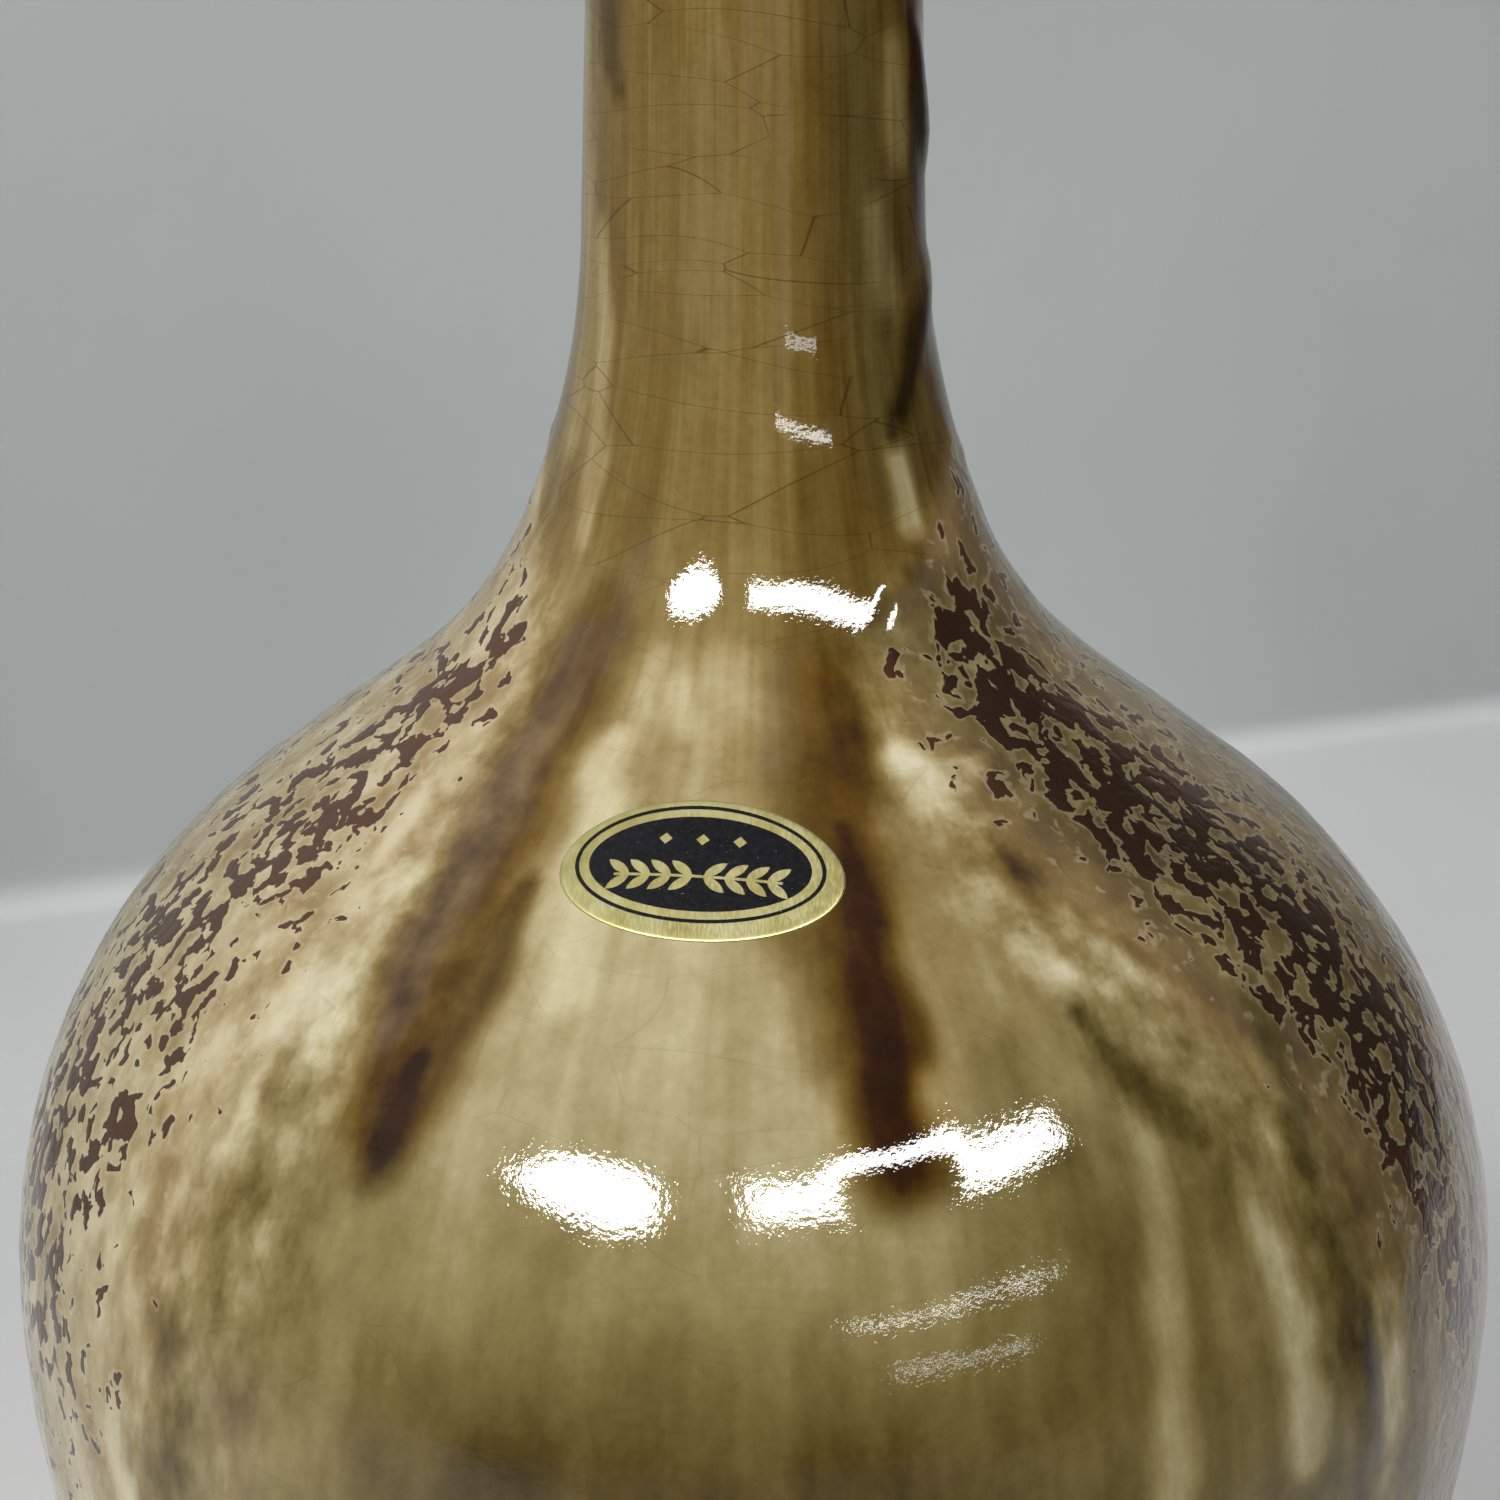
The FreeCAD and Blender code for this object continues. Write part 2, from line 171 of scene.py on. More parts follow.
# Strokes: the value that the stroke brings, then its points as azimuth, height, half width in mm.
THICKNESS_STROKES = (
    (0.30, (-18, 62, 2.6), (-12, 58, 4.2), (-5, 62, 2.8)),
    (0.20, (-13, 61, 1.2), (-11, 59, 1.6)),
    (0.34, (-19, 58, 0.9), (-14, 56, 1.1), (-9, 57, 0.9)),
    (0.16, (-23, 57, 1.8), (-20, 52, 2.4), (-17, 43, 2.5)),
    (0.36, (2, 62, 1.6), (0, 57, 1.4)),
    (0.08, (-45, 40, 1.8), (-43.5, 36, 2.4), (-43.5, 31, 1.6)),
    (0.10, (-47, 51, 1.2), (-45, 48, 1.6)),
    (0.52, (-48, 25, 1.6), (-46, 17, 2.2), (-44, 10, 1.6)),
    (0.08, (-52, 17, 1.3), (-52, 11, 1.6)),
    (0.10, (-49, 5, 1.4), (-48, -3, 1.8)),
    (0.20, (-42, 55, 2.4), (-41, 48, 2.6), (-40, 41, 2.6), (-38, 36, 2.2)),
    (0.30, (-46, 33, 2.8), (-44, 27, 3.0), (-46, 20, 2.6)),
    (0.42, (-47, 10, 3.0), (-46, 3, 3.0)),
    (0.36, (20, 58, 2.8), (25, 51, 3.6), (29, 44, 3.8), (26, 37, 3.0)),
    (0.18, (21, 56.5, 1.4), (27, 54.5, 2.2), (33, 55, 1.6)),
    (0.38, (18.5, 53, 1.6), (19.5, 48, 2.4), (20, 42, 2.4)),
    (0.66, (30.5, 51, 1.4), (31, 47, 1.8)),
    (0.64, (36, 57, 1.6), (43, 57, 2.0)),
    (0.14, (26, 44.6, 1.4), (28.5, 42.6, 1.8)),
    (0.24, (34, 43.5, 1.5), (37.5, 41, 1.6)),
    (0.31, (38, 27, 1.6), (39.5, 17, 2.4), (39.5, 6, 2.4)),
    (0.62, (23.5, 32, 1.6), (24.5, 25, 2.4), (23.5, 14, 2.6), (23, 2, 2.6)),
    (0.36, (31, 34.5, 1.3), (30, 28, 1.6), (28.5, 21, 1.9), (27.5, 8, 2.2)),
    (0.40, (49, 14, 2.4), (48, 1, 2.8)),
    (0.56, (-27, 80, 1.0), (-31, 72, 1.6), (-35, 65, 2.6), (-36, 58, 3.2)),
    (0.68, (-34, 66, 2.8), (-34, 58, 4.0), (-32, 50, 4.8), (-30.5, 43, 5.0), (-29.3, 37, 4.2)),
    (0.58, (-33, 60, 0.9), (-32.5, 50, 1.2), (-31, 42, 1.0)),
    (0.74, (-25.0, 48, 1.0), (-25.6, 43, 2.2), (-27.2, 38.5, 3.0), (-28.4, 34, 3.6), (-29.2, 32.6, 3.8)),
    (0.92, (-27.8, 37.0, 0.9), (-28.6, 34.4, 2.0), (-29.2, 32.8, 2.0)),
    (0.64, (19, 78, 2.2), (16, 70, 3.0), (12.5, 62, 4.0), (9.6, 55, 4.8), (8.2, 47, 5.0), (9.6, 40, 4.6)),
    (0.74, (15, 63, 1.8), (11.8, 55, 2.6), (10.6, 47, 3.0), (11.2, 40, 3.2)),
    (0.86, (11.6, 52, 0.9), (10.8, 47, 1.9), (11.2, 40, 2.4)),
    (0.90, (10.8, 40, 1.4), (10.6, 36, 3.2), (10.8, 32.6, 4.0)),
    (0.72, (-66, 122, 1.6), (-58, 117, 2.2), (-54, 112, 1.6), (-50, 108, 0.9)),
    (0.40, (-78, 114, 2.0), (-72, 102, 2.4), (-66, 90, 2.2), (-62, 78, 1.8)),
    (0.34, (-58, 96, 1.2), (-52, 84, 1.4), (-46, 72, 1.4)),
    (0.88, (44, 81, 0.9), (54, 85, 1.6), (66, 89, 2.2)),
    (0.88, (64, 113, 1.2), (70, 105, 2.2), (77, 97, 2.4)),
    (0.50, (42, 98, 1.6), (48, 92, 2.0), (52, 90, 1.4)),
    (0.30, (44, 78, 1.6), (42, 72, 1.9)),
    (0.42, (50, 112, 1.6), (56, 104, 2.0)),
    (0.78, (24, 66, 0.9), (36, 66.5, 1.5), (50, 68, 1.6)),
    (0.66, (29, 40, 1.0), (31, 37, 1.7), (32.7, 34, 1.7), (35, 30.5, 1.2)),
    (0.54, (34, 26, 1.2), (34, 14, 1.8), (33.5, 0, 2.0)),
    (0.72, (48.5, 40, 1.0), (44, 30, 1.6), (43.5, 23.5, 1.9), (45, 14.6, 2.0), (46, 6, 2.0), (46, -14, 1.8)),
    (0.50, (-43, 14, 2.0), (-41, 4, 2.8), (-41, -10, 2.4)),
)
# How olive the glaze is instead of amber, by height and in strokes. Beside the pour olive also darkens
# the ground, the pale rims and the specks, so on the right side it is partly olive glaze and partly
# painted shade.
OLIVE_HEIGHTS = (-60, 34, 48, 60, 190)
OLIVE_SHARES = (0.85, 0.85, 0.50, 0.32, 0.32)
OLIVE_STROKES = (
    (0.00, (-34, 60, 3.0), (-32, 48, 5.0), (-29.5, 35, 5.0)),
    (0.00, (13, 62, 2.4), (10.5, 48, 4.2), (11, 34, 4.4)),
    (0.80, (30, 116, 3.0), (40, 92, 4.0), (42, 76, 4.0)),
    (0.95, (48, 38, 2.0), (43.5, 24, 2.6), (46, -12, 2.6)),
    (0.95, (29, 40, 1.6), (33, 33, 2.4), (24, 20, 3.0)),
    # Broad olive over the right side: partly olive glaze, partly painted shade on the dim right side.
    (0.80, (30, 64, 4.0), (44, 62, 8.0), (50, 52, 10.0), (57, 43, 12.0), (60, 28, 9.0)),
    (0.55, (52, 20, 5.0), (56, 2, 6.0)),
    (0.45, (-22, 110, 2.0), (-20, 84, 2.0)),
)
# How thickly the iron specks of the bare glaze stand.
INK_STROKES = (
    (1.16, (46, 63, 4.0), (52, 55, 9.0), (58, 45, 11.0), (64, 30, 9.0)),
    (1.05, (56, 40, 5.0), (59, 26, 6.0), (63, 6, 6.0)),
    (0.95, (-60, 62, 6.0), (-64, 48, 9.0), (-70, 28, 9.0), (-72, 4, 8.0)),
    (0.60, (28, 60, 3.0), (31, 52, 3.0)),
    (0.90, (-56, 36, 4.0), (-59, 22, 4.5), (-61, 4, 4.5)),
)
# Where a mauve-brown veil lies in the pour.
MAUVE_STROKES = (
    (0.85, (-36, 64, 1.8), (-34.5, 54, 2.8), (-33.0, 44, 2.9), (-31.8, 38, 1.5)),
    (0.35, (8, 116, 0.8), (9, 96, 0.9), (8, 84, 0.8)),
    (0.30, (-10, 112, 1.0), (-10, 90, 1.0)),
    (0.30, (0, 116, 0.8), (1, 100, 0.8)),
    (0.45, (-27, 70, 1.0), (-30, 62, 1.6)),
    (0.40, (-37, 12, 3.4), (-36, 0, 3.6)),
    (0.40, (5, 62, 1.2), (2, 56, 1.6)),
)

# Raised glaze: height in mm, then the points of the ridge as azimuth, height, half width in mm.
RIDGES = (
    (0.38, (-34.5, 62, 3.6), (-33, 52, 4.6), (-30.5, 43, 5.2), (-29.2, 36, 4.8)),
    (0.42, (12, 57, 2.6), (9.6, 53, 4.2), (8.4, 47, 4.8), (9.8, 39, 4.8), (10.2, 34.4, 4.6)),
    (0.30, (45, 33, 2.0), (43.5, 22, 2.4), (46, 4, 2.4)),
    (0.12, (32, 38, 2.6), (34, 28, 2.8)),
    (0.25, (33, 66, 1.6), (40, 66.5, 2.2), (50, 68, 2.2)),
    (0.40, (50, 84, 1.6), (66, 89, 2.2), (80, 92, 2.4)),
    (0.45, (68, 111, 2.0), (82, 104, 2.4)),
)
# How far in mm the edges of strokes wander.
WANDER = 0.9

# Where the label is stuck, its size, its turn, and the smooth band of glaze left round it.
LABEL_AZIMUTH = -6.1
LABEL_HEIGHT_ON_BOTTLE = 50.0
LABEL_WIDTH = 23.0
LABEL_HEIGHT = 13.4
LABEL_TILT = -1.5
LABEL_MARGIN = 1.6


def smooth(low, high, value):
    """Smooth step of value from 0 at low to 1 at high."""
    t = np.clip((value - low) / (high - low), 0.0, 1.0)
    return t * t * (3.0 - 2.0 * t)


def stroke_reach(points, azimuth, along):
    """Distance from the middle line of a stroke, in half widths."""
    radius = outline_at(along)[0]
    nearest = np.full(azimuth.shape, 9.0)
    for (az0, h0, w0), (az1, h1, w1) in zip(points, points[1:]):
        s0, s1 = along_at(h0), along_at(h1)
        mm_per_degree = math.pi / 180 * radius
        across, up = (azimuth - az0) * mm_per_degree, along - s0
        run_across, run_up = (az1 - az0) * mm_per_degree, s1 - s0
        t = np.clip((across * run_across + up * run_up) / (run_across ** 2 + run_up ** 2), 0.0, 1.0)
        off = np.hypot(across - t * run_across, up - t * run_up) / (w0 + t * (w1 - w0))
        nearest = np.minimum(nearest, off)
    return nearest


def wandering(azimuth, along):
    """The azimuth and distance nudged by seeded noise, so that drawn strokes get uneven edges."""
    mm_per_degree = np.radians(1.0) * outline_at(along)[0]
    nudged = azimuth + WANDER * soft_noise(azimuth, along, 6.0, 5) / mm_per_degree
    return nudged, along + 2.0 * WANDER * soft_noise(azimuth, along, 7.0, 6)


def painted(base, strokes, azimuth, along):
    """The base values with each stroke brought in on top of the ones before it."""
    value = np.array(base, float)
    for stroke in strokes:
        weight = 1.0 - smooth(0.30, 1.50, stroke_reach(stroke[1:], azimuth, along))
        value = value + weight * (stroke[0] - value)
    return value


def soft_noise(azimuth, along, size, seed):
    """Smooth seeded noise from -1 to 1 on the bottle's surface with lumps about size mm wide."""
    r, z, _ = outline_at(along)
    angle = np.radians(azimuth)
    points = np.stack([r * np.sin(angle), -r * np.cos(angle), z], axis=-1).reshape(-1, 3) / size
    shift = Vector((17.3 * seed, -9.1 * seed, 4.7 * seed))
    values = [noise.noise(Vector(point) + shift) for point in points]
    return np.array(values).reshape(azimuth.shape)


def bare_share(azimuth, along):
    """How far a point lies outside the pour, in degrees of azimuth; below 0 is inside the pour."""
    height = outline_at(along)[1] - WIDEST_HEIGHT
    edge = np.where(azimuth < 0, np.interp(height, EDGE_HEIGHTS, EDGE_LEFT),
                    np.interp(height, EDGE_HEIGHTS, EDGE_RIGHT))
    outside = np.abs(azimuth) - edge
    turn = np.radians(azimuth)
    wave = np.sin(3 * turn + 0.7) + 0.6 * np.sin(7 * turn) + 0.4 * np.sin(16 * turn)
    collar = (COLLAR_HEIGHT + COLLAR_WAVE * wave - height) * COLLAR_FADE
    return np.where(along > LIP_ALONG, -OUTSIDE_UNIT, np.minimum(outside, collar))


def label_distance(azimuth, along):
    """Distance from the label's centre as a share of its half size; 1 is its rim."""
    radius = outline_at(along)[0]
    across = np.radians(azimuth - LABEL_AZIMUTH) * radius
    up = along - along_at(LABEL_HEIGHT_ON_BOTTLE)
    return np.hypot(across / (LABEL_WIDTH / 2 + LABEL_MARGIN), up / (LABEL_HEIGHT / 2 + LABEL_MARGIN))


def relief(azimuth, along):
    """Height in mm of the glaze over the plain outline."""
    outside = bare_share(azimuth, along)
    lump = soft_noise(azimuth, along, 16.0, 1)
    ripple = soft_noise(azimuth, along, 5.0, 2)
    raised = 0.10 * lump + 0.03 * ripple
    raised = raised + 0.16 * np.exp(-((outside + 4 * ripple) / 3.0) ** 2)
    raised = raised + 0.10 * smooth(2.0, 12.0, outside) * ripple
    for ridge in RIDGES:
        dome = np.clip(1.0 - (stroke_reach(ridge[1:], azimuth, along) / 1.3) ** 2, 0.0, 1.0) ** 1.5
        raised = raised + ridge[0] * dome * (1 + 0.15 * ripple)
    raised = raised * smooth(1.0, 1.35, label_distance(azimuth, along))
    raised = raised * smooth(0.0, 4.0, ALONG[-1] - along)
    rim = 0.65 * (1.0 - smooth(0.0, 1.6, along)) ** 2
    return raised - rim


# ---------------------------------------------------------------- meshes

# Columns of the turned meshes round the axis; the glaze has more of them at the front.
GLAZE_COLUMNS = 352
FRONT_SHARE = 0.32
CLAY_COLUMNS = 192
LINER_COLUMNS = 160
# Leans past which the outline is on the lip, over its top and on the flare under it.
LIP_OVER = 80.0
LIP_UNDER = -44.9
# The hidden side of the inner glaze: its gap inside the clay, and how it starts in the throat.
SKIN_GAP = 0.02
THROAT_OVERLAP = 2.0
THROAT_STEP = 0.05


def make_object(name, vertices, faces):
    """A smooth-shaded mesh object from vertices in metres."""
    mesh = bpy.data.meshes.new(name)
    mesh.from_pydata(vertices, [], faces)
    mesh.polygons.foreach_set("use_smooth", [True] * len(mesh.polygons))
    mesh.update()
    made = bpy.data.objects.new(name, mesh)
    bpy.context.scene.collection.objects.link(made)
    return made


def azimuths(count, front_share=0.0):
    """Azimuths all round, closer together at the front by front_share."""
    turn = np.linspace(-math.pi, math.pi, count, endpoint=False)
    return np.degrees(turn - front_share * np.sin(turn))


def ring_points(r, z, azimuth):
    """Points in metres for radii and heights in mm at the given azimuths."""
    angle = np.radians(azimuth)
    return np.stack([r * np.sin(angle), -r * np.cos(angle), z], axis=-1) * MM


def turned_mesh(name, points, closed):
    """Mesh of rows of points round the axis; closed joins the last row to the first."""
    rows, columns = points.shape[:2]
    index = np.arange(rows * columns).reshape(rows, columns)
    last = rows if closed else rows - 1
    faces = []
    for i in range(last):
        low, high = index[i], index[(i + 1) % rows]
        faces.append(np.stack([low, np.roll(low, -1), np.roll(high, -1), high], axis=-1))
    return make_object(name, points.reshape(-1, 3), np.concatenate(faces).tolist())


def merge_poles(made):
    """Joins the points that lie together on the axis, and faces the mesh outwards."""
    work = bmesh.new()
    work.from_mesh(made.data)
    bmesh.ops.remove_doubles(work, verts=work.verts, dist=1e-6)
    bmesh.ops.recalc_face_normals(work, faces=work.faces)
    work.to_mesh(made.data)
    work.free()
    return made


def set_attribute(made, name, values, hidden_rows):
    """Stores values on the shown rows of a turned mesh, and zeros on its hidden rows."""
    columns = values.shape[1]
    whole = np.concatenate([values.ravel(), np.zeros(hidden_rows * columns)])
    made.data.attributes.new(name, "FLOAT", "POINT").data.foreach_set("value", whole.astype(np.float32))


def spaced(stops):
    """Distances along the outline from pairs of an end and the spacing up to it."""
    values, start = [], 0.0
    for end, spacing in stops:
        count = max(1, round((end - start) / spacing))
        values.extend(np.linspace(start, end, count, endpoint=False))
        start = end
    return np.array(values + [start])


def coarse_rows(first, last, turn_limit=9.0, length_limit=28.0):
    """Distances along the outline, as few as its bends allow and fewer still round the lip."""
    lean = OUTLINE[:, 2]
    rows, inside = [first], (ALONG > first) & (ALONG < last)
    lean_then, along_then = np.interp(first, ALONG, lean), first
    for along, now in zip(ALONG[inside], lean[inside]):
        on_lip = now > LIP_OVER or (now < LIP_UNDER and along > LIP_ALONG / 2)
        limit = 3 * turn_limit if on_lip else turn_limit
        if abs(now - lean_then) >= limit or along - along_then >= length_limit:
            rows.append(along)
            lean_then, along_then = now, along
    return np.array(rows + [last])


def glaze_values(azimuth, along):
    """What the glaze's material needs to know at each point: thickness, tints, specks and place; the
    thickness and the olive tint also hold painted shade.
    """
    outside = bare_share(azimuth, along)
    height = outline_at(along)[1] - WIDEST_HEIGHT
    left, middle, right = (np.interp(height, POUR_HEIGHTS, column)
                           for column in (POUR_LEFT, POUR_MIDDLE, POUR_RIGHT))
    base = left + smooth(*LEFT_AZIMUTHS, azimuth) * (middle - left)
    base = base + smooth(*RIGHT_AZIMUTHS, azimuth) * (right - base)
    rear = smooth(*REAR_AZIMUTHS, np.abs(azimuth))
    base = base + rear * (middle - base)
    bare = smooth(-4.0, 6.0, outside)
    bare_base = np.interp(azimuth, BARE_AZIMUTHS, BARE_THICKNESS_AND_SHADE)
    base = base + bare * (bare_base - base)
    olive_base = np.interp(height, OLIVE_HEIGHTS, OLIVE_SHARES) * (1.0 - 0.6 * bare)
    near = wandering(azimuth, along)
    return {
        "thickness_and_shade": painted(base, THICKNESS_STROKES, *near),
        "olive_and_shade": painted(olive_base, OLIVE_STROKES, *near),
        "mauve": painted(np.zeros(azimuth.shape), MAUVE_STROKES, *near),
        "ink": painted(0.55 * smooth(-4.0, 16.0, outside), INK_STROKES, *near),
        "outside": outside / OUTSIDE_UNIT,
        "neck": smooth(60.0, 78.0, height),
    }


def glaze_coat():
    """Both outer glazes as one melted skin, from the glaze line over the lip and into the throat."""
    columns = azimuths(GLAZE_COLUMNS, FRONT_SHARE)
    # Rows lie closest on the belly and shoulder, where the runs are, and round the lip.
    shown = spaced(((along_at(-22), 1.9), (along_at(76), 0.98), (along_at(150), 1.9), (LIP_ALONG - 4, 1.4),
                    (LIP_ALONG + 4, 0.7), (ALONG[-1], 2.6)))
    hidden = coarse_rows(0.0, ALONG[-1])[::-1]
    azimuth, along = np.meshgrid(columns, shown)
    r, z, lean = outline_at(along)
    height = relief(azimuth, along)
    r = r + height * np.cos(np.radians(lean))
    z = z + height * np.sin(np.radians(lean))
    under_r, under_z, _ = outline_at(hidden, CLAY_DEPTH)
    bore = hidden > LIP_ALONG
    under_r = np.where(bore, outline_at(hidden, LINER)[0], under_r)
    under_z = np.where(bore, outline_at(hidden, LINER)[1], under_z)
    under_azimuth, under_r = np.meshgrid(columns, under_r)
    under_z = np.meshgrid(columns, under_z)[1]
    points = np.concatenate([ring_points(r, z, azimuth), ring_points(under_r, under_z, under_azimuth)])
    made = turned_mesh("glaze_coat", points, closed=True)
    for name, value in glaze_values(azimuth, along).items():
        set_attribute(made, name, value, len(hidden))
    return made


# Radii and heights of the foot, from the middle of the underside out and up to the glaze line.
FOOT_ROWS = (
    (0.0, 3.2), (6.0, 3.1), (14.0, 3.25), (22.0, 3.1), (29.0, 3.2), (33.5, 3.15), (35.0, 2.9),
    (35.7, 2.1), (36.0, 1.0), (36.5, 0.25), (37.4, 0.0), (39.5, 0.0), (41.6, 0.0), (42.5, 0.25),
    (43.0, 0.9), (43.1, 2.2), (43.3, 3.6), (43.8, 4.9),
)


def clay_shell():
    """The fired clay: recessed underside, foot ring, outside under the glaze, lip, inside and floor."""
    columns = azimuths(CLAY_COLUMNS)
    outer = coarse_rows(0.0, LIP_ALONG, 6.0, 14.0)
    out_r, out_z, _ = outline_at(outer, CLAY_DEPTH)
    inner = coarse_rows(LIP_ALONG, ALONG[-1], 6.0, 14.0)
    in_r, in_z, _ = outline_at(inner, LINER)
    cavity_r, cavity_z = cavity_rows(CLAY_DEPTH + WALL)
    foot = np.array(FOOT_ROWS)
    r = np.concatenate([foot[:, 0], out_r, in_r, cavity_r])
    z = np.concatenate([foot[:, 1], out_z, in_z, cavity_z])
    azimuth, r = np.meshgrid(columns, r)
    z = np.meshgrid(columns, z)[1]
    return merge_poles(turned_mesh("clay_shell", ring_points(r, z, azimuth), closed=False))


def cavity_rows(depth):
    """Radii and heights of the hollow's wall at a depth, from under the neck to the middle of the floor."""
    rows = coarse_rows(0.0, along_at(THROAT_BOTTOM), 5.0, 10.0)[::-1]
    r, z, _ = outline_at(rows, depth)
    floor_lean = np.arange(GLAZE_LINE_LEAN - 6.0, -90.0, -6.0)
    start = OUTLINE[0]
    radius = STRETCHES[0][1]
    centre_r = start[0] - radius * math.cos(math.radians(GLAZE_LINE_LEAN))
    centre_z = start[1] - radius * math.sin(math.radians(GLAZE_LINE_LEAN))
    bend = np.radians(floor_lean)
    floor_r = centre_r + (radius - depth) * np.cos(bend)
    floor_z = centre_z + (radius - depth) * np.sin(bend)
    floor = centre_z - (radius - depth)
    r = np.concatenate([r, floor_r, [centre_r, centre_r * 0.5, 0.0]])
    z = np.concatenate([z, floor_z, [floor, floor, floor]])
    return r, z


def liner_coat():
    """The glaze inside, a closed skin from the throat down to the middle of the floor."""
    columns = azimuths(LINER_COLUMNS)
    r, z = cavity_rows(CLAY_DEPTH + WALL + LINER)
    back_r, back_z = cavity_rows(CLAY_DEPTH + WALL + SKIN_GAP)
    bore = OUTLINE[-1, 0]
    top = OUTLINE[-1, 1] + THROAT_OVERLAP
    r = np.concatenate([[bore + LINER - SKIN_GAP, bore + THROAT_STEP], r, back_r[::-1]])
    z = np.concatenate([[top, top], z, back_z[::-1]])
    azimuth, r = np.meshgrid(columns, r)
    z = np.meshgrid(columns, z)[1]
    return merge_poles(turned_mesh("liner_coat", ring_points(r, z, azimuth), closed=True))


def label_points(x, y, lift):
    """Points in metres for x across and y up the label in mm, wrapped on the cone of the shoulder."""
    tilt = math.radians(LABEL_TILT)
    across = x * math.cos(tilt) - y * math.sin(tilt)
    up = x * math.sin(tilt) + y * math.cos(tilt)
    slope = math.sin(math.radians(SHOULDER_LEAN))
    r0, z0, _ = outline_at(along_at(LABEL_HEIGHT_ON_BOTTLE))
    apex = r0 / slope
    reach = np.hypot(across, apex - up)
    azimuth = LABEL_AZIMUTH + np.degrees(np.arctan2(across, apex - up) / slope)
    r = reach * slope
    z = z0 + (apex - reach) * math.cos(math.radians(SHOULDER_LEAN))
    r = r + lift * math.cos(math.radians(SHOULDER_LEAN))
    z = z + lift * slope
    return ring_points(r, z, azimuth)


# Rings of the foil from the middle out, over the cut edge and back underneath: the share of its half
# size, and the height over the glaze in mm.
FOIL_RINGS = (
    (0.0, 0.165), (0.25, 0.165), (0.45, 0.165), (0.62, 0.166), (0.76, 0.166), (0.86, 0.168),
    (0.93, 0.169), (0.962, 0.168), (0.982, 0.160), (0.994, 0.135), (1.0, 0.10), (0.998, 0.055),
    (0.90, 0.05), (0.5, 0.05), (0.0, 0.05),
)


def foil_label():
    """The gold foil: an oval with rolled-down cut edge and a top pressed flat."""
    turn = np.linspace(0, 2 * math.pi, 144, endpoint=False)
    share = np.array([ring[0] for ring in FOIL_RINGS])[:, None]
    lift = np.array([ring[1] for ring in FOIL_RINGS])[:, None] + 0.0 * turn
    x = share * LABEL_WIDTH / 2 * np.cos(turn)
    y = share * LABEL_HEIGHT / 2 * np.sin(turn)
    return merge_poles(turned_mesh("foil_label", label_points(x, y, lift), closed=False))


# ---------------------------------------------------------------- materials

def colour(code):
    """Linear colour from a hexadecimal display colour."""
    parts = [int(code[i:i + 2], 16) / 255 for i in (1, 3, 5)]
    return tuple(c / 12.92 if c <= 0.04045 else ((c + 0.055) / 1.055) ** 2.4 for c in parts) + (1.0,)


